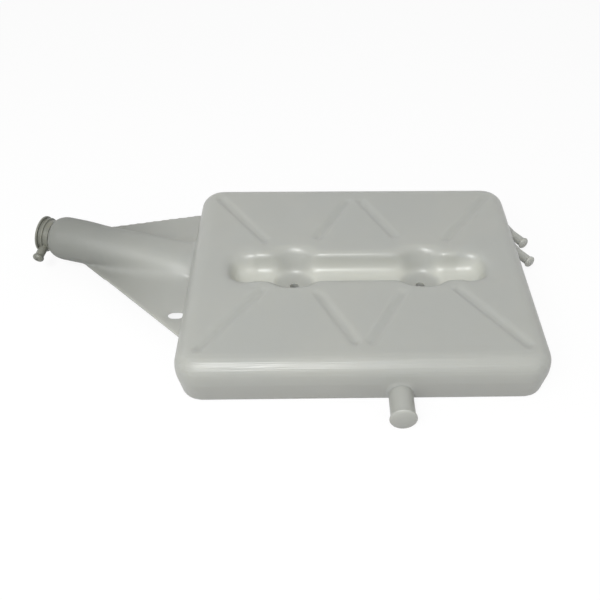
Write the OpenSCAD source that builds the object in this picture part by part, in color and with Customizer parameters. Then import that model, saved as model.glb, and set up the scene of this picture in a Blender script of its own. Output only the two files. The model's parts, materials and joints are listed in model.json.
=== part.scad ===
// Coolant expansion tank: a flat blow-moulded bottle with a long filler neck at the left,
// bolted down through two dished bosses. Origin: underside, midway between the bolt holes.
// +X is right, +Y is back, +Z is up, all lengths are in millimetres.

/* [Bottle] */
// Width of the bottle, left to right
body_w = 342.5; // [330:0.5:380]
// Depth of the bottle, front to back
body_d = 286.5; // [280:0.5:320]
// Height of the bottle
body_h = 48; // [44:0.5:54]
// Distance of the bottle's middle behind the bolt line
body_offset = 3; // [0:0.5:6]
// Corner radius seen from above
corner_r = 24; // [22:0.5:40]
// Radius of the upper edge
top_edge_r = 17; // [12:0.5:20]
// Radius of the lower edge
bottom_edge_r = 5; // [4:0.5:8]
// Height of the mould's parting line on the side walls
parting_z = 24; // [20:0.5:26]
// Draft angle of the walls above the parting line
draft = 0.5; // [0.25:0.25:3]
// Draft angle of the walls below the parting line
low_draft = 10.5; // [4:0.5:12]
// Wall thickness of the moulding
wall = 3; // [2:0.1:3.5]

/* [Bolt dishes] */
// Distance between the two bolt holes
bolt_spacing = 130; // [120:1:140]
// Diameter of each bolt hole
bolt_hole_d = 9; // [6:0.5:10]
// Radius of a dish where its rim starts to round
dish_r = 35; // [32:0.5:38]
// Depth of a dish below the top face
dish_depth = 27; // [24:0.5:29]
// Radius of the rounded rim of a dish
dish_rim_r = 6; // [4:0.5:7]
// Angle of the wall of a dish from level
dish_angle = 66; // [60:1:75]
// Radius between the wall and the floor of a dish
dish_floor_r = 5; // [3:0.5:6]
// Thickness of the welded seat under a bolt head
seat_t = 5.6; // [5:0.1:5.8]
// Radius of the recess under a seat where its rim starts to round
recess_r = 19; // [17:0.5:22]
// Angle of the wall of that recess from level
recess_angle = 80; // [70:1:85]

/* [Trough] */
// Length of the trough that joins the two dishes
trough_l = 268; // [240:1:280]
// Width of the trough at the top face
trough_w = 48; // [44:0.5:56]
// Corner radius of the trough seen from above
trough_corner_r = 19; // [18.5:0.5:21]
// Depth of the trough
trough_depth = 22; // [20:0.5:23]
// Radius of the rounded rim of the trough
trough_rim_r = 5.5; // [4:0.5:6]
// Angle of the wall of the trough from level
trough_angle = 86; // [82:1:88]
// Radius between the wall and the floor of the trough
trough_floor_r = 12; // [9:0.5:12]

/* [Grooves] */
// Width of a stiffening groove
groove_w = 10.5; // [8:0.5:12]
// Depth of a stiffening groove
groove_depth = 2.5; // [1.5:0.1:3]
// Radius of the rounded rim of a groove
groove_rim_r = 2; // [1:0.25:3]
// Outer groove: near end, sideways from the middle
outer_near_x = 92.5; // [88:0.5:96]
// Outer groove: near end, forward or back from the middle
outer_near_y = 35.5; // [34:0.5:40]
// Outer groove: far end, sideways from the middle
outer_far_x = 152; // [140:0.5:153]
// Outer groove: far end, forward or back from the middle
outer_far_y = 122.5; // [110:0.5:124]
// Inner groove: near end, sideways from the middle
inner_near_x = 43.2; // [40:0.2:48]
// Inner groove: near end, forward or back from the middle
inner_near_y = 40.7; // [38:0.1:46]
// Inner groove: far end, sideways from the middle
inner_far_x = 5; // [4:0.5:20]
// Inner groove: far end, forward or back from the middle
inner_far_y = 116.5; // [105:0.5:122]

/* [Filler neck] */
// Distance of the collar's flange face out from the bottle's wall
flange_out = 163.95; // [158:0.05:172]
// Place of the collar's flange face behind the bolt line
flange_y = 70.2; // [60:0.1:80]
// Height of the middle of the collar's flange face
flange_z = 38; // [34:0.5:44]
// Turn of the neck toward the back
neck_turn = 13; // [8:0.5:16]
// Rise of the neck toward its mouth
neck_rise = 4.5; // [2:0.25:6]
// Outside radius of the round neck
neck_r = 23; // [21:0.25:25]
// Radius of the mouth end of the neck, before its shoulder
mouth_r = 17; // [17:0.25:18.5]
// Length of the round shoulder at the mouth
shoulder_l = 14; // [6:0.5:16]
// Length of the round part of the neck, from its mouth
round_l = 48; // [40:1:60]
// Half width of the flat duct where the neck joins the bottle
duct_half_w = 27; // [24:0.5:30]
// Half height of that duct
duct_half_h = 13; // [11:0.5:14]
// Height of the middle of the duct at the bottle
duct_z = 19; // [18:0.5:20]
// Place of the middle of the duct behind the bolt line
duct_y = 40; // [30:0.5:46]

/* [Web] */
// Height of the underside of the web beside the neck
web_z = 17; // [14:0.5:20]
// Thickness of the web
web_t = 3; // [2:0.1:4]
// Place of the web's front edge on the bottle's wall
web_front_y = -79; // [-84:0.5:-60]
// Distance of the web's front corner beside the neck out from the bottle's wall
web_front_out = 117.25; // [110:0.25:124]
// Place of the web's front corner beside the neck
web_front_neck_y = 40.3; // [38:0.1:46]
// Distance of the web's back corner out from the bottle's wall
web_back_out = 112.75; // [100:0.25:120]
// Place of the web's back corner behind the bolt line
web_back_y = 105.6; // [100:0.1:110]
// Slope of the web's back edge
web_back_angle = 12.5; // [10:0.25:15]
// Radius of the web's back corner
web_corner_r = 8; // [4:0.5:12]
// Width of the clip slot in the web
slot_w = 7; // [4:0.5:8]
// Length of the clip slot
slot_l = 15; // [10:0.5:16]
// Distance of the middle of the slot out from the bottle's wall
slot_out = 10.25; // [9.75:0.25:13]
// Place of the middle of the slot behind the bolt line
slot_y = -41; // [-48:0.5:-20]

/* [Front hose tail] */
// Sideways place of the front hose tail
front_tail_x = 33; // [0:1:60]
// Height of the axis of the front hose tail
front_tail_z = 12.75; // [12.5:0.25:16]
// Outside diameter of the front hose tail
front_tail_d = 22.5; // [18:0.5:23]
// Length of the front hose tail in front of the wall
front_tail_l = 34; // [24:0.5:40]
// Extra radius of the hose bead on the front tail
front_bead = 1.25; // [0.5:0.25:1.25]
// Wall thickness of the front hose tail
front_tail_wall = 2.75; // [2:0.25:3.5]

/* [Side hose tails] */
// Distance of the end of the back side tail from the bottle's back wall
side_tail_inset = 75.75; // [66:0.25:80]
// Distance between the two side tails
side_tail_pitch = 33; // [30:0.5:40]
// How far the side tails reach out from the wall
side_tail_reach = 18.3; // [14:0.1:22]
// Height of the axes of the side tails
side_tail_z = 18.5; // [14:0.5:22]
// Angle of the side tails toward the front
side_tail_angle = 58; // [50:1:62]
// Outside diameter of a side tail
side_tail_d = 10; // [8:0.25:11]
// Extra radius of the hose bead on a side tail
side_bead = 1.25; // [0.5:0.25:1.5]
// Wall thickness of a side tail
side_tail_wall = 1.75; // [1.25:0.25:2.5]
// Radius of the cone at the root of a side tail
side_root_r = 9.5; // [8:0.25:11]
// Length of that cone from the wall
side_root_l = 15; // [10:0.5:18]

/* [Collar] */
// Outside diameter of the cap flange
flange_d = 38.6; // [37:0.1:42]
// Thickness of the cap flange
flange_t = 2; // [1.5:0.1:2]
// Outside diameter of the collar's barrel
barrel_d = 33; // [32:0.25:34]
// Length of the collar from the flange face to the neck's mouth
collar_l = 12.5; // [12:0.5:14]
// Outside diameter of the second ring
ring_d = 36.6; // [35:0.1:38]
// Thickness of the second ring
ring_t = 2; // [1.5:0.1:2.5]
// Distance of the second ring from the flange face
ring_s = 5; // [4:0.25:6]
// Bore of the filler throat above the cap seat
throat_d = 28; // [26:0.5:29]
// Depth of the cap seat below the flange face
throat_depth = 9; // [7:0.5:9]
// Bore of the collar below the cap seat
spigot_bore_d = 22; // [18:0.5:24]
// Outside diameter of the spigot inside the neck
spigot_d = 29; // [27:0.25:30]
// Length of the spigot inside the neck
spigot_l = 12; // [8:0.5:14]
// Clearance between the spigot and the neck's mouth, all round
spigot_clear = 0.2; // [0.1:0.05:0.4]

/* [Overflow nipple] */
// Outside diameter of the overflow nipple
nipple_d = 9; // [7:0.25:9]
// Bore of the overflow nipple
nipple_bore_d = 3.5; // [3:0.25:3.5]
// Extra radius of the hose bead on the nipple
nipple_bead = 1.25; // [0.5:0.25:1.5]
// Length of the nipple from the collar's axis to its tip
nipple_l = 33; // [28:0.5:40]
// Distance of the nipple's root from the flange face
nipple_s = 7.5; // [7:0.25:7.5]
// Turn of the nipple below level, round the neck's axis
nipple_turn = 20; // [0:1:60]
// Lean of the nipple toward the mouth
nipple_lean = 2.5; // [0:0.5:2.5]

/* [Hidden] */
milky = "#d5d6cb";
straw = "#b9b39c";
$fn = 96;
loft_fn = 32;
// Length by which cutters run past a face
past = 1;
// Length by which hose tails start inside the bottle, before the inside is cut away
root_in = 16;
// Thickness of a loft's end disc, and its step in from the round neck
loft_step = 0.5;
// Share of the wall by which the loft's inside is narrower than the round neck's
loft_thin = 0.25;
half_w = body_w / 2;
half_d = body_d / 2;
flange_x = -half_w - flange_out;
web_front_x = -half_w - web_front_out;
web_back_x = -half_w - web_back_out;
slot_x = -half_w - slot_out;
side_tail_y = body_offset + half_d - side_tail_inset;
duct_in_x = -half_w + 2 * wall;
mouth_bore_r = spigot_d / 2 + spigot_clear;
groove_steps = 4;
arc_steps = 5;
groove_arc_r = (groove_w * groove_w / 4 + groove_depth * groove_depth) / (2 * groove_depth);
groove_mid = groove_arc_r - groove_depth;
groove_turn = acos((groove_mid + groove_rim_r) / (groove_arc_r + groove_rim_r));
groove_reach = (groove_arc_r + groove_rim_r) * sin(groove_turn);
recess_depth = body_h - dish_depth - seat_t;
recess_rim_r = wall + 1;
recess_floor_r = wall;
side_tail_l = side_tail_reach / cos(side_tail_angle);
side_pair = [side_tail_y, side_tail_y - side_tail_pitch];

// Right half of the bottle's section at a side, from a corner's centre out; t is the inset
module side_half(t) {
    rt = top_edge_r - t;
    rb = bottom_edge_r - t;
    zt = body_h - top_edge_r;
    xt = corner_r - (zt - parting_z) * tan(draft) - top_edge_r / cos(draft);
    xb = corner_r - (parting_z - bottom_edge_r) * tan(low_draft) - bottom_edge_r / cos(low_draft);
    rise = t * (1 / cos(low_draft) - 1 / cos(draft)) / (tan(draft) + tan(low_draft));
    polygon([
        [0, t],
        [xb, t],
        [xb + rb * cos(low_draft), bottom_edge_r - rb * sin(low_draft)],
        [corner_r - rise * tan(draft) - t / cos(draft), parting_z + rise],
        [xt + rt * cos(draft), zt + rt * sin(draft)],
        [xt, body_h - t],
        [0, body_h - t]
    ]);
    translate([xb, bottom_edge_r]) circle(rb);
    translate([xt, zt]) circle(rt);
}

// Whole section across the bottle, span between the corner centres
module side_section(span, t) {
    translate([span / 2, 0]) side_half(t);
    mirror([1, 0]) translate([span / 2, 0]) side_half(t);
    translate([-span / 2 - past, t]) square([span + 2 * past, body_h - 2 * t]);
}

// Places children at the four corner centres of a rectangle, each turned outward
module at_corners(span_x, span_y) {
    for (q = [0:3]) {
        sx = (q == 0 || q == 3) ? 1 : -1;
        sy = (q < 2) ? 1 : -1;
        translate([sx * span_x / 2, sy * span_y / 2, 0]) rotate([0, 0, 90 * q]) children();
    }
}

// Rounded slab of the bottle, inset by t
module bottle(t) {
    span_x = body_w - 2 * corner_r;
    span_y = body_d - 2 * corner_r;
    translate([0, body_offset, 0]) {
        at_corners(span_x, span_y) rotate_extrude(angle = 90) intersection() {
            side_half(t);
            square([body_w, body_h]);
        }
        rotate([90, 0, 0]) linear_extrude(span_y, center = true) side_section(span_x, t);
        rotate([90, 0, 90]) linear_extrude(span_x, center = true) side_section(span_y, t);
    }
}

// Points of a dish-like cutter's half section below level zero: r rim, d depth, rr rim radius,
// a wall angle, rf floor radius, g growth into the material
function dish_points(r, d, rr, a, rf, g) =
    let (
        run = (d - (rr + rf) * (1 - cos(a))) / tan(a),
        xf = r - (rr + rf) * sin(a) - run,
        floor_arc = [for (i = [0:arc_steps]) let (t = a * i / arc_steps)
            [xf + (rf + g) * sin(t), rf - d - (rf + g) * cos(t)]],
        rim_arc = [for (i = [arc_steps:-1:0]) let (t = a * i / arc_steps)
            [r - (rr - g) * sin(t), (rr - g) * cos(t) - rr]]
    )
    concat([[0, past], [0, -d - g]], floor_arc, rim_arc, [[r, past]]);

// Half section of a dish-like cutter
module dish_half(r, d, rr, a, rf, g) {
    polygon(dish_points(r, d, rr, a, rf, g));
}

// Round dish cutter, open upward at level zero
module dish(r, d, rr, a, rf, g) {
    rotate_extrude() dish_half(r, d, rr, a, rf, g);
}

// Trough cutter, open upward at level zero
module trough(g) {
    span_x = trough_l - 2 * trough_corner_r;
    span_y = trough_w - 2 * trough_corner_r;
    at_corners(span_x, span_y) rotate_extrude(angle = 90) trough_half(g);
    rotate([90, 0, 0]) linear_extrude(span_y, center = true) trough_section(span_x, g);
    rotate([90, 0, 90]) linear_extrude(span_x, center = true) trough_section(span_y, g);
}

// Half section of the trough, from a corner's centre out
module trough_half(g) {
    dish_half(trough_corner_r, trough_depth, trough_rim_r, trough_angle, trough_floor_r, g);
}

// Whole section across the trough
module trough_section(span, g) {
    translate([span / 2, 0]) trough_half(g);
    mirror([1, 0]) translate([span / 2, 0]) trough_half(g);
    translate([-span / 2, -trough_depth - g]) square([span, trough_depth + g + past]);
}

// Points of half a groove's section from its middle to its rim, arc by arc
function groove_points() =
    let (
        floor_arc = [for (i = [0:groove_steps]) let (a = groove_turn * i / groove_steps)
            [groove_arc_r * sin(a), groove_mid - groove_arc_r * cos(a)]],
        rim_arc = [for (i = [groove_steps - 1:-1:0]) let (a = groove_turn * i / groove_steps)
            [groove_reach - groove_rim_r * sin(a), groove_rim_r * (cos(a) - 1)]]
    )
    concat([[0, past]], floor_arc, rim_arc, [[groove_reach, past]]);

// Half section of a groove cutter below level zero, plain when it is grown for the inside
module groove_half(g) {
    if (g == 0) polygon(groove_points());
    else intersection() {
        translate([0, groove_mid]) circle(groove_arc_r + g);
        translate([0, -groove_depth - g]) square([groove_w, groove_depth + g + past]);
    }
}

// Groove cutter between two tip points, with round ends
module groove(a, b, g) {
    d = b - a;
    l = norm(d);
    translate([a[0], a[1], 0]) rotate([0, 0, atan2(d[1], d[0])]) {
        translate([groove_w / 2, 0, 0]) rotate([90, 0, 90]) linear_extrude(l - groove_w) {
            groove_half(g);
            mirror([1, 0]) groove_half(g);
        }
        for (x = [groove_w / 2, l - groove_w / 2]) translate([x, 0, 0])
            rotate_extrude() groove_half(g);
    }
}

// The eight stiffening grooves, mirrored over both middle lines
module grooves(g) {
    for (sx = [-1, 1], sy = [-1, 1]) {
        groove([sx * outer_near_x, sy * outer_near_y], [sx * outer_far_x, sy * outer_far_y], g);
        groove([sx * inner_near_x, sy * inner_near_y], [sx * inner_far_x, sy * inner_far_y], g);
    }
}

// Everything pressed into the top and the underside, grown by g
module pressed(g) {
    translate([0, 0, body_h]) {
        trough(g);
        for (s = [-1, 1]) translate([s * bolt_spacing / 2, 0, 0])
            dish(dish_r, dish_depth, dish_rim_r, dish_angle, dish_floor_r, g);
        translate([0, body_offset, 0]) grooves(g);
    }
    for (s = [-1, 1]) translate([s * bolt_spacing / 2, 0, 0]) mirror([0, 0, 1])
        dish(recess_r, recess_depth, recess_rim_r, recess_angle, recess_floor_r, g);
}

// Frame of the neck: origin on the flange face, +Z out of the mouth
module neck_frame() {
    translate([flange_x, flange_y, flange_z]) rotate([0, 90 - neck_rise, 180 - neck_turn]) children();
}

// Round part of the neck with its shoulder, inset by t
module round_neck(t) {
    neck_frame() rotate_extrude() {
        translate([0, -collar_l - round_l]) square([neck_r - t, round_l - shoulder_l]);
        translate([0, -collar_l - shoulder_l]) square([mouth_r - t, shoulder_l - t]);
        intersection() {
            translate([mouth_r - t, -collar_l - shoulder_l]) shoulder_arc(t);
            translate([0, -collar_l - shoulder_l - past]) square([neck_r, shoulder_l + past]);
        }
    }
}

// Shoulder arc of the neck, from the mouth out to the full radius
module shoulder_arc(t) {
    dx = neck_r - mouth_r;
    rise = shoulder_l - t;
    arc = (dx * dx + rise * rise) / (2 * dx);
    intersection() {
        translate([dx - arc, 0]) circle(arc);
        square([dx, rise]);
    }
}

// Neck from its round part to the flat duct at the bottle, inset by t
module duct(t) {
    hull() {
        neck_frame() translate([0, 0, -collar_l - round_l - loft_step])
            cylinder(r = neck_r - loft_step - (1 + loft_thin) * t, h = 2 * loft_step, $fn = loft_fn);
        for (s = [-1, 1]) translate([duct_in_x + t, duct_y + s * (duct_half_w - duct_half_h), duct_z])
            rotate([0, 90, 0]) cylinder(r = duct_half_h - t, h = loft_step, $fn = loft_fn);
    }
}

// Flat web between the neck and the bottle's wall
module web() {
    inner = -half_w + wall;
    back_in = web_back_y + (inner - web_back_x) * tan(web_back_angle);
    difference() {
        translate([0, 0, web_z]) linear_extrude(web_t) union() {
            polygon([
                [inner, web_front_y],
                [web_front_x, web_front_neck_y],
                [web_front_x, flange_y],
                [web_back_x - web_corner_r, web_back_y - 2 * web_corner_r],
                [web_back_x - web_corner_r, web_back_y - web_corner_r],
                [web_back_x, web_back_y],
                [inner, back_in]
            ]);
            translate([web_back_x, web_back_y - web_corner_r]) circle(web_corner_r);
        }
        translate([slot_x, slot_y, web_z - past]) linear_extrude(web_t + 2 * past) slot_outline();
    }
}

// Outline of the clip slot, long along X with round ends
module slot_outline() {
    square([slot_l - slot_w, slot_w], center = true);
    for (s = [-1, 1]) translate([s * (slot_l - slot_w) / 2, 0]) circle(slot_w / 2);
}

// Hose tail along +Z from level zero: radius r, length l, bead height b
module hose_tail(r, l, b) {
    bead = 2 * b + 0.5;
    rotate_extrude() {
        square([r, l - bead / 2]);
        translate([0, l - 2 * bead]) square([r, 2 * bead - b]);
        intersection() {
            translate([r - bead + b, l - bead - b / 2]) circle(bead);
            square([r + b, l]);
        }
    }
}

// Frame of the front hose tail: origin in the wall's outer plane, +Z out
module front_tail_frame() {
    translate([front_tail_x, body_offset - half_d, front_tail_z]) rotate([90, 0, 0]) children();
}

// Frame of the side hose tails: origin on the wall's outer plane, +Z out
module side_tail_frame(y) {
    translate([half_w, y + side_tail_reach * tan(side_tail_angle), side_tail_z])
        rotate([0, 90, -side_tail_angle]) children();
}

// The blow-moulded bottle with its neck, web and hose tails
module tank_body() {
    color(milky) difference() {
        union() {
            difference() {
                bottle(0);
                pressed(0);
            }
            round_neck(0);
            duct(0);
            web();
            front_tail_frame() translate([0, 0, -root_in])
                hose_tail(front_tail_d / 2, front_tail_l + root_in, front_bead);
            for (y = side_pair) side_tail_frame(y) translate([0, 0, -root_in]) {
                hose_tail(side_tail_d / 2, side_tail_l + root_in, side_bead);
                cylinder(r1 = side_root_r, r2 = side_tail_d / 2, h = side_root_l + root_in);
            }
        }
        difference() {
            bottle(wall);
            pressed(wall);
        }
        round_neck(wall);
        duct(wall);
        neck_frame() translate([0, 0, -collar_l - shoulder_l])
            cylinder(r = mouth_bore_r, h = shoulder_l + past);
        front_tail_frame() translate([0, 0, -root_in])
            cylinder(r = front_tail_d / 2 - front_tail_wall, h = front_tail_l + root_in + past);
        for (y = side_pair) side_tail_frame(y) translate([0, 0, -root_in])
            cylinder(r = side_tail_d / 2 - side_tail_wall, h = side_tail_l + root_in + past);
        for (s = [-1, 1]) translate([s * bolt_spacing / 2, 0, -past])
            cylinder(d = bolt_hole_d, h = body_h + 2 * past);
    }
}

// The moulded collar with its cap flange, spigot and overflow nipple
module filler_collar() {
    color(straw) neck_frame() difference() {
        union() {
            translate([0, 0, -flange_t]) cylinder(d = flange_d, h = flange_t);
            translate([0, 0, -collar_l]) cylinder(d = barrel_d, h = collar_l);
            translate([0, 0, -ring_s - ring_t]) cylinder(d = ring_d, h = ring_t);
            translate([0, 0, -collar_l - spigot_l]) cylinder(d = spigot_d, h = spigot_l + past);
            nipple_frame() hose_tail(nipple_d / 2, nipple_l, nipple_bead);
        }
        translate([0, 0, -throat_depth]) cylinder(d = throat_d, h = throat_depth + past);
        translate([0, 0, -collar_l - spigot_l - past]) cylinder(d = spigot_bore_d, h = collar_l + spigot_l + past);
        nipple_frame() cylinder(d = nipple_bore_d, h = nipple_l + past);
    }
}

// Frame of the overflow nipple: origin on the neck's axis, +Z along the nipple
module nipple_frame() {
    translate([0, 0, -nipple_s]) rotate([0, 90 - nipple_lean, 90 - nipple_turn]) children();
}

tank_body();
filler_collar();
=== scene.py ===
"""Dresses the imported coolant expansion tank: blown skin, hose tails, collar and studio."""

import json
import logging
import math
from dataclasses import dataclass
from enum import Enum
from typing import Any, Sequence

import bmesh
import bpy
from mathutils import Matrix, Vector

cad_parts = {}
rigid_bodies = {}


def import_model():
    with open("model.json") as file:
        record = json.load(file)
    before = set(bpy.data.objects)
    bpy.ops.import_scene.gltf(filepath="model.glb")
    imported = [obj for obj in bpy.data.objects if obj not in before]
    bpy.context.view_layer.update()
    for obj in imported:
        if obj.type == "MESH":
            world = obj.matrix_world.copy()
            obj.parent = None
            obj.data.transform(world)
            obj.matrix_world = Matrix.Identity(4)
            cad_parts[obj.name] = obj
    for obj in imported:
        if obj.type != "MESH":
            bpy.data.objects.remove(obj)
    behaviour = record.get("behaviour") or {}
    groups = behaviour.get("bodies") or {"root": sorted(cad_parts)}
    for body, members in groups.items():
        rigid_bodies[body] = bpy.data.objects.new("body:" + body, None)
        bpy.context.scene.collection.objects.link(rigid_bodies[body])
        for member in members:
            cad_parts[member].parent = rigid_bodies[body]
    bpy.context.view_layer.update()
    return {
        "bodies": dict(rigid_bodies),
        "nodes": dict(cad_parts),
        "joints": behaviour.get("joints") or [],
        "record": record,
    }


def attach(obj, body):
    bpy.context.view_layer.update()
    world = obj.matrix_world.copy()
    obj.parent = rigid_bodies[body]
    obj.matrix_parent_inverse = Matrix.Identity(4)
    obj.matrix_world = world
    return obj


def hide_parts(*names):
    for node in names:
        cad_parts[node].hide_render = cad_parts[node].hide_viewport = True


LOG = logging.getLogger("tank")
MM = 0.001
FULL_TURN = 2 * math.pi
DOME_STEPS = 14
BEAD_STEPS = 14
ROOT_STEPS = 10
HOLLOW_STEPS = 4
EDGE_STEPS = 5
TAIL_SIDES = 72
COLLAR_SIDES = 96
ROD_SIDES = 64
TIP_GAP = 0.02
PAST = 1.0
SAME_POINT = 1e-6
SAME_SPUN_POINT = 1e-7
SOFTENING = 0.5
WHITE = (1, 1, 1, 1)

Colour = tuple[float, float, float, float]
Place = tuple[float, float, float]
Point = tuple[float, float]
Span = tuple[float, float]


class Slot(Enum):
    """Material slots of the record."""

    MILKY = "milky_plastic"
    STRAW = "straw_plastic"


# ---- shader maths -------------------------------------------------------------------------


class Wave:
    """A socket that adds Math nodes when it is used in an expression."""

    def __init__(self, nodes: "Nodes", socket: bpy.types.NodeSocket) -> None:
        """Wraps one output socket of a node tree."""
        self.nodes = nodes
        self.socket = socket

    def _math(self, operation: str, first: Any, second: Any) -> "Wave":
        """Adds one Math node.

        Args:
            operation: Blender's name of the operation.
            first: a Wave or a number.
            second: a Wave or a number.

        Returns:
            The result.
        """
        inputs = {0: first, 1: second}
        node = self.nodes.node("ShaderNodeMath", {"operation": operation}, inputs)
        return Wave(self.nodes, node.outputs[0])

    def __add__(self, other: Any) -> "Wave":
        """Sum."""
        return self._math("ADD", self, other)

    def __radd__(self, other: Any) -> "Wave":
        """Sum, reflected."""
        return self._math("ADD", other, self)

    def __sub__(self, other: Any) -> "Wave":
        """Difference."""
        return self._math("SUBTRACT", self, other)

    def __rsub__(self, other: Any) -> "Wave":
        """Difference, reflected."""
        return self._math("SUBTRACT", other, self)

    def __mul__(self, other: Any) -> "Wave":
        """Product."""
        return self._math("MULTIPLY", self, other)

    def __rmul__(self, other: Any) -> "Wave":
        """Product, reflected."""
        return self._math("MULTIPLY", other, self)

    def larger(self, other: Any) -> "Wave":
        """The larger of two values."""
        return self._math("MAXIMUM", self, other)

    def clamp(self) -> "Wave":
        """The value held between 0 and 1."""
        node = self.nodes.node("ShaderNodeClamp", {}, {"Value": self})
        return Wave(self.nodes, node.outputs[0])


class Nodes:
    """A node tree that is filled through one method."""

    def __init__(self, tree: bpy.types.NodeTree) -> None:
        """Takes a tree and empties it."""
        self.tree = tree
        self.tree.nodes.clear()

    def node(
        self, kind: str, settings: dict[str, Any], inputs: dict[int | str, Any]
    ) -> bpy.types.Node:
        """Adds any node.

        Args:
            kind: Blender's name of the node type.
            settings: properties of the node, set first.
            inputs: values, sockets or Waves by input name or number.

        Returns:
            The new node.
        """
        node = self.tree.nodes.new(kind)
        for key, value in settings.items():
            setattr(node, key, value)
        for key, value in inputs.items():
            if isinstance(value, Wave):
                value = value.socket
            if isinstance(value, bpy.types.NodeSocket):
                self.tree.links.new(value, node.inputs[key])
            else:
                node.inputs[key].default_value = value
        return node

    def blend(self, factor: Any, first: bpy.types.Node, second: bpy.types.Node) -> bpy.types.Node:
        """Mixes two shaders.

        Args:
            factor: a Wave or a number, 0 for the first shader and 1 for the second.
            first: node of one shader.
            second: node of the other.

        Returns:
            The Mix Shader node.
        """
        inputs = {0: factor, 1: first.outputs[0], 2: second.outputs[0]}
        return self.node("ShaderNodeMixShader", {}, inputs)

    def seen(self) -> Wave:
        """Tells what is looked at from what is only lit.

        Returns:
            1 for what the camera, a gloss or a clear body sees, 0 for the rest.
        """
        path = self.node("ShaderNodeLightPath", {}, {})
        total = Wave(self, path.outputs["Is Camera Ray"])
        for name in ("Is Glossy Ray", "Is Transmission Ray"):
            total = total.larger(Wave(self, path.outputs[name]))
        return total


@dataclass(frozen=True)
class Patches:
    """Soft patches of a finish: noise, in waves a metre, and the band that it is cut to."""

    scale: float
    detail: float
    low: float
    high: float
    rough: float = 0.5


class Finish(Nodes):
    """Nodes of one material, with a Principled shader at their end."""

    def __init__(self, name: str) -> None:
        """Starts an empty material.

        Args:
            name: name of the material.
        """
        self.material = bpy.data.materials.new(name)
        self.material.use_nodes = True
        super().__init__(self.material.node_tree)
        coords = self.node("ShaderNodeTexCoord", {}, {})
        self.place = coords.outputs["Object"]
        split = self.node("ShaderNodeSeparateXYZ", {}, {0: self.place})
        self.x, self.y, self.z = (Wave(self, socket) for socket in split.outputs)

    def noise(
        self,
        scale: float,
        detail: float = 2.0,
        rough: float = 0.5,
        place: bpy.types.NodeSocket | None = None,
    ) -> Wave:
        """Adds noise.

        Args:
            scale: waves a metre.
            detail: octaves.
            rough: share that each octave adds to the one before.
            place: coordinates, the object's own where none are given.

        Returns:
            The noise, about 0 to 1.
        """
        inputs = {
            "Vector": place or self.place,
            "Scale": scale,
            "Detail": detail,
            "Roughness": rough,
        }
        node = self.node("ShaderNodeTexNoise", {}, inputs)
        return Wave(self, node.outputs["Fac"])

    def streaks(self, scale: float, stretch: float) -> Wave:
        """Adds noise drawn out along X, as the mould leaves it.

        Args:
            scale: waves a metre across the streaks.
            stretch: share of that scale along them.

        Returns:
            The streaks, about 0 to 1.
        """
        inputs = {0: self.place, 1: (stretch, 1, 1)}
        drawn = self.node("ShaderNodeVectorMath", {"operation": "MULTIPLY"}, inputs)
        return self.noise(scale, place=drawn.outputs[0])

    def band(self, value: Wave, low: float, high: float) -> Wave:
        """Adds a smooth step.

        Args:
            value: what is measured.
            low: where the step starts.
            high: where it ends.

        Returns:
            0 below low, 1 above high and a smooth step between.
        """
        inputs = {"Value": value, "From Min": low, "From Max": high}
        node = self.node("ShaderNodeMapRange", {"interpolation_type": "SMOOTHSTEP"}, inputs)
        return Wave(self, node.outputs[0])

    def patches(self, cut: Patches) -> Wave:
        """Soft patches, 0 between them and 1 within."""
        return self.band(self.noise(cut.scale, cut.detail, cut.rough), cut.low, cut.high)

    def mix(self, factor: Wave, first: Any, second: Any) -> bpy.types.NodeSocket:
        """Mixes two colours.

        Args:
            factor: 0 for the first and 1 for the second.
            first: a colour or a colour socket.
            second: a colour or a colour socket.

        Returns:
            The mixed colour's socket.
        """
        inputs = {0: factor, 6: first, 7: second}
        node = self.node("ShaderNodeMix", {"data_type": "RGBA"}, inputs)
        return node.outputs[2]

    def bump(self, height: Wave, strength: float, distance: float) -> bpy.types.NodeSocket:
        """Adds a Bump node.

        Args:
            height: height of the surface, about 0 to 1.
            strength: share of the bump that shows.
            distance: height in metres where the value is 1.

        Returns:
            The normal's socket.
        """
        inputs = {"Height": height, "Strength": strength, "Distance": distance}
        return self.node("ShaderNodeBump", {}, inputs).outputs[0]

    def close(self, **inputs: Any) -> bpy.types.Material:
        """Ends the material.

        Args:
            **inputs: inputs of the Principled shader, with underscores for spaces.

        Returns:
            The finished material.
        """
        named = {key.replace("_", " "): value for key, value in inputs.items()}
        shader = self.node("ShaderNodeBsdfPrincipled", {}, named)
        self.node("ShaderNodeOutputMaterial", {}, {0: shader.outputs[0]})
        return self.material


# ---- finishes -----------------------------------------------------------------------------


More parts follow.
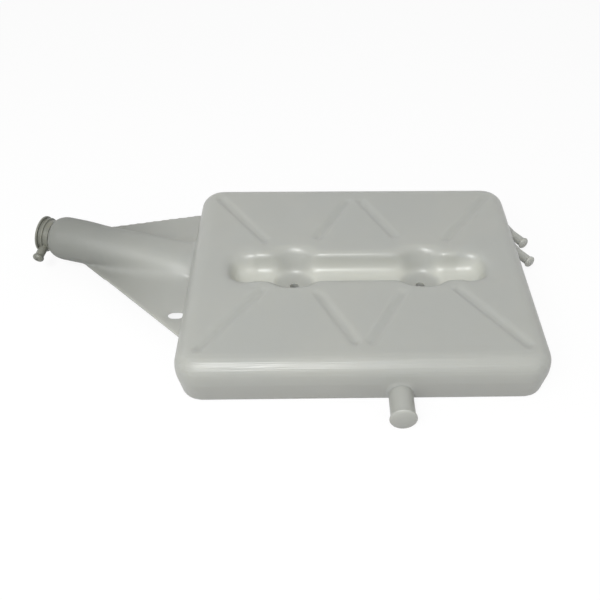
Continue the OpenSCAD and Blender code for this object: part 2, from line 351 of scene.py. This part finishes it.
@dataclass(frozen=True)
class MilkyFinish:
    """Translucent off-white blown plastic: colours, with painted shade on the neck and painted
    light in the trough, their shares, and where they lie in metres.
    """

    pale: Colour = (0.382, 0.389, 0.361, 1)
    cool: Colour = (0.352, 0.366, 0.352, 1)
    warm: Colour = (0.348, 0.350, 0.324, 1)
    # painted light: the trough's lighter colour stands for light that the milky plastic lets into
    # it
    painted_trough_light: Colour = (0.505, 0.512, 0.466, 1)
    # painted shade: the neck's darker colour stands for the weaker light that reaches it
    neck: Colour = (0.172, 0.178, 0.162, 1)
    cloud: Patches = Patches(scale=14, detail=3, low=0.35, high=0.65)
    drift: Patches = Patches(scale=5, detail=2, low=0.3, high=0.7)
    specks: Patches = Patches(scale=420, detail=3, low=0.66, high=0.8, rough=0.6)
    cool_share: float = 0.35
    low_share: float = 0.55
    drift_share: float = 0.15
    neck_shade_share: float = 0.8
    speck_share: float = 0.12
    low_z: Span = (4 * MM, 40 * MM)
    # where the neck's painted shade begins, along X
    neck_x: Span = (-315 * MM, -165 * MM)
    # where the trough's painted light lies
    trough_y: Span = (9 * MM, 23 * MM)
    trough_x: Span = (124 * MM, 138 * MM)
    trough_floor_z: Span = (21 * MM, 26 * MM)
    trough_wall_z: Span = (36 * MM, 48 * MM)
    front_y: Span = (-132 * MM, -112 * MM)
    front_z: Span = (30 * MM, 40 * MM)
    beside_x: Span = (-205 * MM, -169 * MM)
    grain_scale: float = 1500
    swell_scale: float = 60
    streak_scale: float = 900
    streak_stretch: float = 0.012
    gloss_scale: float = 35
    grain_height: float = 0.12
    swell_height: float = 0.9
    streak_height: float = 5.0
    bump_strength: float = 0.25
    bump_distance: float = 0.4 * MM
    roughness: float = 0.29
    patch_rough: float = 0.1
    grain_rough: float = 0.03
    beside_rough: float = 0.24
    refraction: float = 1.5
    glow: float = 0.7
    glow_radius: tuple[float, ...] = (1.0, 0.95, 0.85)
    glow_scale: float = 9 * MM

    def trough(self, f: Finish) -> Wave:
        """Finds the trough's floor and foot, which get painted light: a lighter colour that stands
        for the light the milky plastic lets into the trough.

        Args:
            f: the finish that is being made.

        Returns:
            1 in the trough and 0 elsewhere.
        """
        (y0, y1), (x0, x1) = self.trough_y, self.trough_x
        floor = 1 - f.band(f.y * f.y, y0**2, y1**2)
        floor = floor * (1 - f.band(f.x * f.x, x0**2, x1**2))
        return floor * f.band(f.z, *self.trough_floor_z) * (1 - f.band(f.z, *self.trough_wall_z))

    def colour(self, f: Finish) -> bpy.types.NodeSocket:
        """Mixes the plastic's colours, painting shade on the neck and light in the trough.

        Args:
            f: the finish that is being made.

        Returns:
            The colour's socket.
        """
        cloud = f.patches(self.cloud)
        drift = f.patches(self.drift)
        base = f.mix(cloud * self.cool_share, self.pale, self.cool)
        low = 1 - f.band(f.z, *self.low_z)
        lower = (low * self.low_share + drift * self.drift_share).clamp()
        base = f.mix(lower, base, self.warm)
        # painted shade: towards the neck's end the colour turns to the darker neck colour, for the
        # weaker light that falls there
        out = 1 - f.band(f.x, *self.neck_x)
        base = f.mix((out * self.neck_shade_share).clamp(), base, self.neck)
        # painted light: the trough's floor and foot are mixed to a lighter colour in place of the
        # light that reaches them
        base = f.mix(self.trough(f), base, self.painted_trough_light)
        return f.mix(f.patches(self.specks) * self.speck_share, base, self.warm)

    def build(self) -> bpy.types.Material:
        """Makes the finish.

        Returns:
            The material.
        """
        f = Finish(Slot.MILKY.value)
        base = self.colour(f)
        grain = f.noise(self.grain_scale)
        swell = f.noise(self.swell_scale)
        front = (1 - f.band(f.y, *self.front_y)) * f.band(f.z, *self.front_z)
        drawn = f.streaks(self.streak_scale, self.streak_stretch) * front
        height = grain * self.grain_height + swell * self.swell_height
        height = height + drawn * self.streak_height
        beside = 1 - f.band(f.x, *self.beside_x)
        gloss = self.roughness + f.noise(self.gloss_scale, 3) * self.patch_rough
        gloss = gloss + grain * self.grain_rough + beside * self.beside_rough
        return f.close(
            Base_Color=base,
            Roughness=gloss,
            Normal=f.bump(height, self.bump_strength, self.bump_distance),
            IOR=self.refraction,
            Subsurface_Weight=self.glow,
            Subsurface_Radius=self.glow_radius,
            Subsurface_Scale=self.glow_scale,
        )


@dataclass(frozen=True)
class StrawFinish:
    """Straw tinted moulded plastic of the collar: its colours, their shares and its grain."""

    light: Colour = (0.172, 0.176, 0.149, 1)
    dark: Colour = (0.136, 0.139, 0.115, 1)
    straw: Colour = (0.205, 0.195, 0.145, 1)
    cloud: Patches = Patches(scale=45, detail=3, low=0.35, high=0.65)
    tint: Patches = Patches(scale=120, detail=2, low=0.5, high=0.7)
    dark_share: float = 0.7
    straw_share: float = 0.45
    grain_scale: float = 1800
    swell_scale: float = 150
    grain_height: float = 0.15
    swell_height: float = 0.5
    bump_strength: float = 0.22
    bump_distance: float = 0.25 * MM
    roughness: float = 0.34
    cloud_rough: float = 0.1
    grain_rough: float = 0.04
    refraction: float = 1.5
    glow: float = 0.15
    glow_radius: tuple[float, ...] = (1.0, 0.9, 0.6)
    glow_scale: float = 2 * MM

    def build(self) -> bpy.types.Material:
        """Makes the finish.

        Returns:
            The material.
        """
        f = Finish(Slot.STRAW.value)
        cloud = f.patches(self.cloud)
        base = f.mix(cloud * self.dark_share, self.light, self.dark)
        base = f.mix(f.patches(self.tint) * self.straw_share, base, self.straw)
        grain = f.noise(self.grain_scale)
        height = grain * self.grain_height + f.noise(self.swell_scale) * self.swell_height
        return f.close(
            Base_Color=base,
            Roughness=self.roughness + cloud * self.cloud_rough + grain * self.grain_rough,
            Normal=f.bump(height, self.bump_strength, self.bump_distance),
            IOR=self.refraction,
            Subsurface_Weight=self.glow,
            Subsurface_Radius=self.glow_radius,
            Subsurface_Scale=self.glow_scale,
        )


# ---- shapes -------------------------------------------------------------------------------


def arc(
    cr: float, cz: float, radius: float, start: float, end: float, steps: int
) -> list[Point]:
    """Gives the points of an arc in a section.

    Args:
        cr: distance of its centre from the axis.
        cz: height of its centre.
        radius: its radius.
        start: its first angle, in degrees from the r axis.
        end: its last angle.
        steps: number of its chords.

    Returns:
        The points (r, z) from start to end.
    """
    turn = [math.radians(start + (end - start) * i / steps) for i in range(steps + 1)]
    return [(cr + radius * math.cos(a), cz + radius * math.sin(a)) for a in turn]


def lathe(
    bm: bmesh.types.BMesh, profile: Sequence[Point], frame: Matrix, sides: int = TAIL_SIDES
) -> None:
    """Spins a section round a frame's Z axis.

    Args:
        bm: mesh that takes the turned piece.
        profile: points (r, z) in millimetres.
        frame: where the piece goes.
        sides: number of flats round the axis.
    """
    part = bmesh.new()
    verts = [part.verts.new((r * MM, 0, z * MM)) for r, z in profile]
    edges = [part.edges.new(pair) for pair in zip(verts, verts[1:])]
    bmesh.ops.spin(
        part,
        geom=verts + edges,
        cent=(0, 0, 0),
        axis=(0, 0, 1),
        dvec=(0, 0, 0),
        angle=FULL_TURN,
        steps=sides,
        use_merge=True,
    )
    bmesh.ops.remove_doubles(part, verts=part.verts, dist=SAME_SPUN_POINT)
    bmesh.ops.transform(part, matrix=frame, verts=part.verts)
    bmesh.ops.recalc_face_normals(part, faces=part.faces)
    spare = bpy.data.meshes.new("spare")
    part.to_mesh(spare)
    part.free()
    bm.from_mesh(spare)
    bpy.data.meshes.remove(spare)


def rod(bm: bmesh.types.BMesh, frame: Matrix, radius: float, low: float, high: float) -> None:
    """Adds a closed cylinder along a frame's Z axis.

    Args:
        bm: mesh that takes the cylinder.
        frame: where it goes.
        radius: its radius in millimetres.
        low: height of its lower end in millimetres.
        high: height of its upper end in millimetres.
    """
    middle = Matrix.Translation((0, 0, (low + high) / 2 * MM))
    bmesh.ops.create_cone(
        bm,
        cap_ends=True,
        segments=ROD_SIDES,
        radius1=radius * MM,
        radius2=radius * MM,
        depth=(high - low) * MM,
        matrix=frame @ middle,
    )


def made(name: str, bm: bmesh.types.BMesh) -> bpy.types.Object:
    """Turns a bmesh into an object of the scene, at the origin.

    Args:
        name: name of the object and its mesh.
        bm: its shape, which is freed.

    Returns:
        The object.
    """
    mesh = bpy.data.meshes.new(name)
    bm.to_mesh(mesh)
    bm.free()
    obj = bpy.data.objects.new(name, mesh)
    bpy.context.scene.collection.objects.link(obj)
    return obj


def settle(obj: bpy.types.Object) -> None:
    """Turns an object's modifiers into its mesh.

    Args:
        obj: the object, which keeps its name.
    """
    graph = bpy.context.evaluated_depsgraph_get()
    mesh = bpy.data.meshes.new_from_object(obj.evaluated_get(graph))
    obj.modifiers.clear()
    obj.data = mesh
    mesh.name = obj.name


def smooth(obj: bpy.types.Object, angle: float = 40.0) -> None:
    """Shades an object smooth, with edges sharper than angle in degrees kept."""
    obj.data.polygons.foreach_set("use_smooth", [True] * len(obj.data.polygons))
    obj.data.set_sharp_from_angle(angle=math.radians(angle))


def dress(obj: bpy.types.Object, material: bpy.types.Material) -> None:
    """Gives a piece its finish, its body and its slot, and reports it.

    Args:
        obj: the piece.
        material: its finish.
    """
    obj.data.materials.clear()
    obj.data.materials.append(material)
    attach(obj, "root")
    triangles = sum(len(p.vertices) - 2 for p in obj.data.polygons)
    LOG.info("%s: %d triangles", obj.name, triangles)


def facing(place: Sequence[float], direction: Sequence[float]) -> Matrix:
    """Frame at a place in millimetres whose Z axis points along a direction."""
    turn = Vector(direction).to_track_quat("Z", "Y").to_matrix().to_4x4()
    return Matrix.Translation(Vector(place) * MM) @ turn


@dataclass
class HoseTail:
    """A beaded hose tail, bored with a lip or, where it has a dome, moulded shut.

    Sizes are in millimetres and root_turn in degrees. shut_ring is the radius of a shut
    tail's bead, in beads, and root_foot the part of the root that stays at its foot.
    """

    name: str
    frame: Matrix
    radius: float
    length: float
    root: float
    sunk: float
    bead: float = 1.25
    bore: float = 0.0
    dome: float = 0.0
    shut_ring: float = 1.44
    ring_more: float = 0.5
    lip: float = 0.5
    root_turn: float = 70.0
    root_foot: float = 0.7

    def bored_tip(self, end: float) -> list[Point]:
        """Section of the bore and its lip, up to the tip's end."""
        points = [(0.0, -self.sunk), (self.bore, -self.sunk)]
        return points + arc(self.bore + self.lip, end - self.lip, self.lip, 180, 90, HOLLOW_STEPS)

    def domed_tip(self, crest: float) -> list[Point]:
        """Draws the dome's section.

        Args:
            crest: height of the bead's crest.

        Returns:
            Points (r, z) from the axis to the crest.
        """
        quarter = [math.pi / 2 * k / DOME_STEPS for k in range(DOME_STEPS)]
        wide = self.radius + self.bead
        return [(wide * math.sin(t), crest + self.dome * math.cos(t)) for t in quarter]

    def profile(self) -> list[Point]:
        """Draws the tail's section.

        Returns:
            Points (r, z) from the axis over the tip and the bead to the root.
        """
        r, b = self.radius, self.bead
        end = self.length - b / 2 - TIP_GAP
        if self.dome:
            ring, start = self.shut_ring * b, 0
            crest = end - self.dome
            points = self.domed_tip(crest)
        else:
            ring, start = 2 * b + self.ring_more, 90
            crest = end - ring
            points = self.bored_tip(end)
        lean = math.degrees(math.acos((ring - b) / ring))
        points += arc(r - ring + b, crest, ring, start, -lean, BEAD_STEPS)
        points += arc(r + self.root, self.root, self.root, 180, 180 + self.root_turn, ROOT_STEPS)
        foot = -self.sunk - PAST
        return points + [(r + self.root * self.root_foot, foot), (0.0, foot)]

    def build(self, material: bpy.types.Material) -> None:
        """Makes and dresses the tail.

        Args:
            material: its finish.
        """
        bm = bmesh.new()
        lathe(bm, self.profile(), self.frame)
        obj = made(self.name, bm)
        smooth(obj)
        dress(obj, material)


@dataclass
class Neck:
    """Frame and sizes of the filler neck, in millimetres and degrees."""

    flange: Place = (-335.2, 70.2, 38.0)
    turn: float = 13.0
    rise: float = 4.5
    collar: float = 12.5
    bore: float = 14.7

    def frame(self) -> Matrix:
        """Gives the neck's frame.

        Returns:
            Frame with its origin on the flange face and Z out of the mouth.
        """
        turn = Matrix.Rotation(math.radians(180 - self.turn), 4, "Z")
        rise = Matrix.Rotation(math.radians(90 - self.rise), 4, "Y")
        return Matrix.Translation(Vector(self.flange) * MM) @ turn @ rise


@dataclass
class Web:
    """Corners of the flat web between the neck and the bottle's wall, in millimetres."""

    wall_x: float = -171.25
    front_y: float = -79.0
    front_corner: Point = (-288.5, 40.3)
    back_corner: Point = (-284.0, 105.6)
    back_angle: float = 12.5

    def depth(self, x: float, y: float) -> float:
        """Measures how far inside the web's two free edges a place lies.

        Args:
            x: place across the tank.
            y: place along its depth.

        Returns:
            Distance to the nearer edge, negative outside.
        """
        corner_x, corner_y = self.front_corner
        front = Vector((corner_x - self.wall_x, corner_y - self.front_y)).normalized()
        near = (x - self.wall_x) * front.y - (y - self.front_y) * front.x
        back = math.radians(self.back_angle)
        back_x, back_y = self.back_corner
        far = (back_y - y) * math.cos(back) + (x - back_x) * math.sin(back)
        return min(near, far)


@dataclass
class Ports:
    """Places and sizes of the hose tails and bolt holes, in millimetres and degrees."""

    front: Place = (33.0, -140.25, 12.75)
    front_r: float = 11.25
    front_length: float = 34.0
    side_x: float = 171.25
    side_ys: tuple[float, ...] = (70.5, 37.5)
    side_z: float = 18.5
    side_r: float = 5.0
    reach: float = 18.3
    angle: float = 58.0
    bolts: tuple[float, ...] = (-65.0, 65.0)
    bolt_r: float = 4.5

    def front_frame(self) -> Matrix:
        """Frame of the front tail."""
        return facing(self.front, (0, -1, 0))

    def side_frame(self, y: float) -> Matrix:
        """Gives the frame of a side tail.

        Args:
            y: where the tail's end lies along the tank's depth.

        Returns:
            Frame with its origin in the wall's plane and Z along the tail.
        """
        a = math.radians(self.angle)
        place = (self.side_x, y + self.reach * math.tan(a), self.side_z)
        return facing(place, (math.cos(a), -math.sin(a), 0))

    def bolt_frame(self, x: float) -> Matrix:
        """Frame of a bolt hole at the underside."""
        return Matrix.Translation((x * MM, 0, 0))

    def side_length(self, reach: float) -> float:
        """Length of a side tail that reaches so far out from the wall."""
        return reach / math.cos(math.radians(self.angle))

    def build(self, material: bpy.types.Material) -> None:
        """Makes the three closed tails.

        Args:
            material: their finish.
        """
        HoseTail(
            "front_tail_skin",
            self.front_frame(),
            self.front_r,
            self.front_length,
            root=0.6,
            sunk=9.0,
            dome=3.4,
        ).build(material)
        for name, y in zip(("back_tail_skin", "near_tail_skin"), self.side_ys):
            HoseTail(
                name,
                self.side_frame(y),
                self.side_r,
                self.side_length(self.reach),
                root=1.0,
                sunk=6.0,
                dome=3.0,
            ).build(material)


@dataclass(frozen=True)
class Zones:
    """Limits of the parts of the skin that are softened, in millimetres."""

    top_x: float = 166
    top_front: float = -136
    top_back: float = 142
    top_low: float = 16
    trough_x: float = 144
    trough_y: float = 33
    ends_x: float = 104
    neck_x: float = -174
    neck_low: float = 19.4
    neck_tip: float = -292


@dataclass
class BlownSkin:
    """Soft outer skin of the bottle, neck and web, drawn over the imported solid, in mm."""

    neck: Neck
    web: Web
    ports: Ports
    zones: Zones = Zones()
    voxel: float = 2.0
    front_cut: float = -143.0
    side_cut: float = 184.0
    mouth_plug_r: float = 16.9
    mouth_plug: float = 9.0
    front_plug_r: float = 10.9
    side_plug_r: float = 4.0
    tail_plug: float = 12.0
    bolt_plug_r: float = 5.5
    bolt_plug: Span = (16.0, 20.8)
    bolt_drill: Span = (-2.0, 50.0)
    drill_out: float = 2.0
    drill_in: float = 12.0
    duct_from: Point = (19.0, 20.0)
    duct_to: Point = (18.5, 62.0)
    rounds: int = 7
    top_rounds: int = 2
    trough_rounds: int = 20
    end_rounds: int = 44
    blend_rounds: int = 16
    blend_depths: tuple[float, ...] = (6, 12, 18, 24)
    foot: float = 8.0
    sharp: float = 50.0

    def core(self, node: bpy.types.Object) -> bmesh.types.BMesh:
        """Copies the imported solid, cuts its tails off and plugs its bores.

        Args:
            node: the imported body.

        Returns:
            The shape that the skin is drawn over.
        """
        bm = bmesh.new()
        bm.from_mesh(node.data)
        bmesh.ops.remove_doubles(bm, verts=bm.verts, dist=SAME_POINT)
        cuts = (((0, self.front_cut), (0, -1)), ((self.side_cut, 0), (1, 0)))
        for place, way in cuts:
            bmesh.ops.bisect_plane(
                bm,
                geom=bm.verts[:] + bm.edges[:] + bm.faces[:],
                plane_co=(place[0] * MM, place[1] * MM, 0),
                plane_no=(way[0], way[1], 0),
                clear_outer=True,
            )
        deep, ports = -self.neck.collar, self.ports
        rod(bm, self.neck.frame(), self.mouth_plug_r, deep - self.mouth_plug, deep)
        front_stub = ports.front[1] - self.front_cut
        rod(bm, ports.front_frame(), self.front_plug_r, -self.tail_plug, front_stub)
        side_stub = ports.side_length(self.side_cut - ports.side_x)
        for y in ports.side_ys:
            rod(bm, ports.side_frame(y), self.side_plug_r, -self.tail_plug, side_stub)
        for x in ports.bolts:
            rod(bm, ports.bolt_frame(x), self.bolt_plug_r, *self.bolt_plug)
        return bm

    def bores(self) -> bpy.types.Object:
        """Makes the cutter for the neck's bore and the bolt holes.

        Returns:
            The cutter, an object of its own.
        """
        bm = bmesh.new()
        deep, bore = -self.neck.collar, self.neck.bore
        (from_r, from_z), (to_r, to_z) = self.duct_from, self.duct_to
        profile = [(0, deep + self.drill_out), (bore, deep + self.drill_out)]
        profile += [(bore, deep - self.drill_in), (from_r, deep - from_z)]
        profile += [(to_r, deep - to_z), (0, deep - to_z)]
        lathe(bm, profile, self.neck.frame())
        for x in self.ports.bolts:
            rod(bm, self.ports.bolt_frame(x), self.ports.bolt_r, *self.bolt_drill)
        return made("bores", bm)

    def soft_zones(self, bm: bmesh.types.BMesh) -> list[tuple[list, int]]:
        """Sorts the skin's points by how much they are softened.

        Args:
            bm: the skin.

        Returns:
            Points and rounds of smoothing, in the order that they are smoothed.
        """
        z = self.zones
        top, trough, ends = [], [], []
        blend = {depth: [] for depth in self.blend_depths}
        for v in bm.verts:
            x, y, height = v.co / MM
            if abs(x) < z.top_x and z.top_front < y < z.top_back and height > z.top_low:
                top.append(v)
                if abs(x) < z.trough_x and abs(y) < z.trough_y:
                    trough.append(v)
                    if abs(x) > z.ends_x:
                        ends.append(v)
            if x < z.neck_x and height > z.neck_low:
                depth = min(self.web.depth(x, y), x - z.neck_tip)
                for limit, verts in blend.items():
                    if depth > limit:
                        verts.append(v)
        zones = [(top, self.top_rounds), (trough, self.trough_rounds), (ends, self.end_rounds)]
        return zones + [(verts, self.blend_rounds) for verts in blend.values()]

    def relax(self, obj: bpy.types.Object) -> None:
        """Softens the dished top, the trough and the neck's blend, and squares the foot.

        Args:
            obj: the skin.
        """
        bm = bmesh.new()
        bm.from_mesh(obj.data)
        ways = {"use_axis_x": True, "use_axis_y": True, "use_axis_z": True}
        for verts, rounds in self.soft_zones(bm):
            for _ in range(rounds):
                bmesh.ops.smooth_vert(bm, verts=verts, factor=SOFTENING, **ways)
        for v in bm.verts:
            t = v.co.z / MM / self.foot
            if 0 < t < 1:
                v.co.z = self.foot * MM * (2 * t * t - t * t * t)
        bm.to_mesh(obj.data)
        bm.free()

    def build(self, node: bpy.types.Object, material: bpy.types.Material) -> None:
        """Makes the skin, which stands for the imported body.

        Args:
            node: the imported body.
            material: the skin's finish.
        """
        obj = made("blown_skin", self.core(node))
        remesh = obj.modifiers.new("skin", "REMESH")
        remesh.mode = "VOXEL"
        remesh.voxel_size = self.voxel * MM
        soften = obj.modifiers.new("soften", "SMOOTH")
        soften.factor = SOFTENING
        soften.iterations = self.rounds
        settle(obj)
        self.relax(obj)
        cutter = self.bores()
        drill = obj.modifiers.new("drill", "BOOLEAN")
        drill.operation = "DIFFERENCE"
        drill.solver = "EXACT"
        drill.object = cutter
        settle(obj)
        bpy.data.objects.remove(cutter)
        smooth(obj, self.sharp)
        dress(obj, material)
        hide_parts("tank_body")


@dataclass
class Collar:
    """Moulded collar: flange, second ring, throat, spigot and nipple, in mm and degrees."""

    neck: Neck
    edge_r: float = 0.5
    flange_r: float = 19.3
    flange_t: float = 2.0
    barrel_r: float = 16.5
    ring_r: float = 18.3
    ring_s: float = 5.0
    ring_t: float = 2.0
    throat_r: float = 14.0
    throat: float = 9.0
    seat_r: float = 11.0
    spigot_r: float = 14.5
    spigot: float = 12.0
    nipple_r: float = 4.5
    nipple_bore: float = 1.75
    nipple_length: float = 33.0
    nipple_from: float = 15.2
    nipple_s: float = 7.5
    nipple_turn: float = 20.0
    nipple_lean: float = 2.5

    def profile(self) -> list[Point]:
        """Draws the collar's section.

        Returns:
            Points (r, z) round from the seat and back to it.
        """
        e, soft, fine = self.edge_r, HOLLOW_STEPS, EDGE_STEPS
        end = -self.neck.collar - self.spigot
        low = -self.ring_s - self.ring_t
        points = [(self.seat_r, -self.throat), (self.throat_r - e, -self.throat)]
        points += arc(self.throat_r - e, -self.throat + e, e, -90, 0, soft)
        points += arc(self.throat_r + e, -e, e, 180, 90, soft)
        points += arc(self.flange_r - e, -e, e, 90, 0, fine)
        points += arc(self.flange_r - e, -self.flange_t + e, e, 0, -90, fine)
        points += arc(self.barrel_r + e, -self.flange_t - e, e, 90, 180, soft)
        points += arc(self.barrel_r + e, -self.ring_s + e, e, 180, 270, soft)
        points += arc(self.ring_r - e, -self.ring_s - e, e, 90, 0, fine)
        points += arc(self.ring_r - e, low + e, e, 0, -90, fine)
        points += arc(self.barrel_r + e, low - e, e, 90, 180, soft)
        points += [(self.barrel_r, -self.neck.collar), (self.spigot_r, -self.neck.collar)]
        points += arc(self.spigot_r - e, end + e, e, 0, -90, soft)
        points += arc(self.seat_r + e, end + e, e, -90, -180, soft)
        return points + [points[0]]

    def nipple(self) -> HoseTail:
        """Places the overflow nipple.

        Returns:
            The nipple, from the neck's axis outward.
        """
        shift = Matrix.Translation((0, 0, -self.nipple_s * MM))
        turn = Matrix.Rotation(math.radians(90 - self.nipple_turn), 4, "Z")
        lean = Matrix.Rotation(math.radians(90 - self.nipple_lean), 4, "Y")
        return HoseTail(
            "nipple",
            self.neck.frame() @ shift @ turn @ lean,
            self.nipple_r,
            self.nipple_length,
            root=0.8,
            sunk=-self.nipple_from - PAST,
            bore=self.nipple_bore,
        )

    def build(self, material: bpy.types.Material) -> None:
        """Makes the collar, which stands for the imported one.

        Args:
            material: its finish.
        """
        bm = bmesh.new()
        lathe(bm, self.profile(), self.neck.frame(), COLLAR_SIDES)
        tail = self.nipple()
        lathe(bm, [(r, max(z, self.nipple_from)) for r, z in tail.profile()], tail.frame)
        obj = made("collar_skin", bm)
        smooth(obj)
        dress(obj, material)
        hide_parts("filler_collar")


# ---- studio -------------------------------------------------------------------------------


@dataclass
class Studio:
    """Pale floor, soft light and camera, in metres, degrees and watts, the lens in mm."""

    camera_place: Place = (-0.04116, -0.59807, 0.53073)
    elevation: float = 41.5
    yaw: float = -1.651277
    roll: float = 0.632084
    lens: float = 45.733
    sensor: float = 36.0
    shift: float = -0.0569
    near: float = 0.01
    aim: Place = (-0.03, 0.0, 0.02)
    key_back: float = 1.2
    key_aside: float = 0.25
    key_power: float = 26.5
    key_size: float = 0.4
    left_place: Place = (-1.0, -1.3, 1.3)
    left_power: float = 9.5
    right_place: Place = (1.7, -0.2, 1.3)
    right_power: float = 0.8
    fill_size: float = 1.2
    world_light: float = 0.5
    floor_size: float = 6.0
    floor_pale: Colour = (0.9, 0.9, 0.9, 1)
    floor_dim: Colour = (0.4, 0.4, 0.4, 1)
    floor_white: float = 0.88

    def axes(self) -> tuple[Vector, Vector, Vector]:
        """Works out how the camera is turned.

        Returns:
            The camera's right, up and forward directions.
        """
        e = math.radians(self.elevation)
        turn = Matrix.Rotation(math.radians(self.yaw), 3, "Z")
        forward = turn @ Vector((0, math.cos(e), -math.sin(e)))
        up = turn @ Vector((0, math.sin(e), math.cos(e)))
        right = turn @ Vector((1, 0, 0))
        r = math.radians(self.roll)
        tilted = math.cos(r) * right + math.sin(r) * up
        raised = -math.sin(r) * right + math.cos(r) * up
        return tilted, raised, forward

    def camera(self) -> None:
        """Adds the camera at the photograph's angle."""
        right, up, forward = self.axes()
        data = bpy.data.cameras.new("camera")
        data.sensor_width = self.sensor
        data.lens = self.lens
        data.shift_x = self.shift
        data.clip_start = self.near
        obj = bpy.data.objects.new("camera", data)
        turn = Matrix((right, up, -forward)).transposed().to_4x4()
        obj.matrix_world = Matrix.Translation(self.camera_place) @ turn
        bpy.context.scene.collection.objects.link(obj)
        bpy.context.scene.camera = obj

    def lamp(self, name: str, place: Vector, power: float, size: float) -> None:
        """Adds a square soft lamp aimed at the tank.

        Args:
            name: its name.
            place: where it stands.
            power: its power.
            size: its side.
        """
        data = bpy.data.lights.new(name, "AREA")
        data.energy = power
        data.size = size
        obj = bpy.data.objects.new(name, data)
        way = Vector(self.aim) - place
        turn = way.to_track_quat("-Z", "Y").to_matrix().to_4x4()
        obj.matrix_world = Matrix.Translation(place) @ turn
        bpy.context.scene.collection.objects.link(obj)

    def lamps(self) -> None:
        """Adds the key lamp behind the camera and a weak one on each side."""
        right, up, forward = self.axes()
        key = Vector(self.camera_place) - forward * self.key_back
        key += up * self.key_aside - right * self.key_aside
        self.lamp("key", key, self.key_power, self.key_size)
        self.lamp("fill_left", Vector(self.left_place), self.left_power, self.fill_size)
        self.lamp("fill_right", Vector(self.right_place), self.right_power, self.fill_size)

    def world(self) -> None:
        """Adds plain surrounding light, white where it is seen."""
        world = bpy.data.worlds.new("studio")
        world.use_nodes = True
        nodes = Nodes(world.node_tree)
        light = {"Color": WHITE, "Strength": self.world_light}
        plain = nodes.node("ShaderNodeBackground", {}, light)
        white = nodes.node("ShaderNodeBackground", {}, {"Color": WHITE, "Strength": 1.0})
        both = nodes.blend(nodes.seen(), plain, white)
        nodes.node("ShaderNodeOutputWorld", {}, {0: both.outputs[0]})
        bpy.context.scene.world = world

    def floor(self) -> None:
        """Adds the pale floor, which keeps a soft shadow."""
        bm = bmesh.new()
        bmesh.ops.create_grid(bm, x_segments=2, y_segments=2, size=self.floor_size)
        obj = made("floor", bm)
        material = bpy.data.materials.new("floor")
        material.use_nodes = True
        nodes = Nodes(material.node_tree)
        matt = nodes.node("ShaderNodeBsdfDiffuse", {}, {"Color": self.floor_pale})
        glow = nodes.node("ShaderNodeEmission", {}, {"Strength": 1.0})
        pale = nodes.blend(self.floor_white, matt, glow)
        dim = nodes.node("ShaderNodeBsdfDiffuse", {}, {"Color": self.floor_dim})
        both = nodes.blend(nodes.seen(), dim, pale)
        nodes.node("ShaderNodeOutputMaterial", {}, {0: both.outputs[0]})
        obj.data.materials.append(material)

    def build(self) -> None:
        """Sets up the whole studio."""
        self.camera()
        self.lamps()
        self.world()
        self.floor()
        bpy.context.scene.view_settings.view_transform = "Standard"


def main() -> None:
    """Builds every piece in order."""
    logging.basicConfig(level=logging.INFO, format="%(name)s: %(message)s")
    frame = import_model()
    Studio().build()
    milky = MilkyFinish().build()
    straw = StrawFinish().build()
    neck, web, ports = Neck(), Web(), Ports()
    BlownSkin(neck, web, ports).build(frame["nodes"]["tank_body"], milky)
    ports.build(milky)
    Collar(neck).build(straw)


if __name__ == "__main__":
    main()
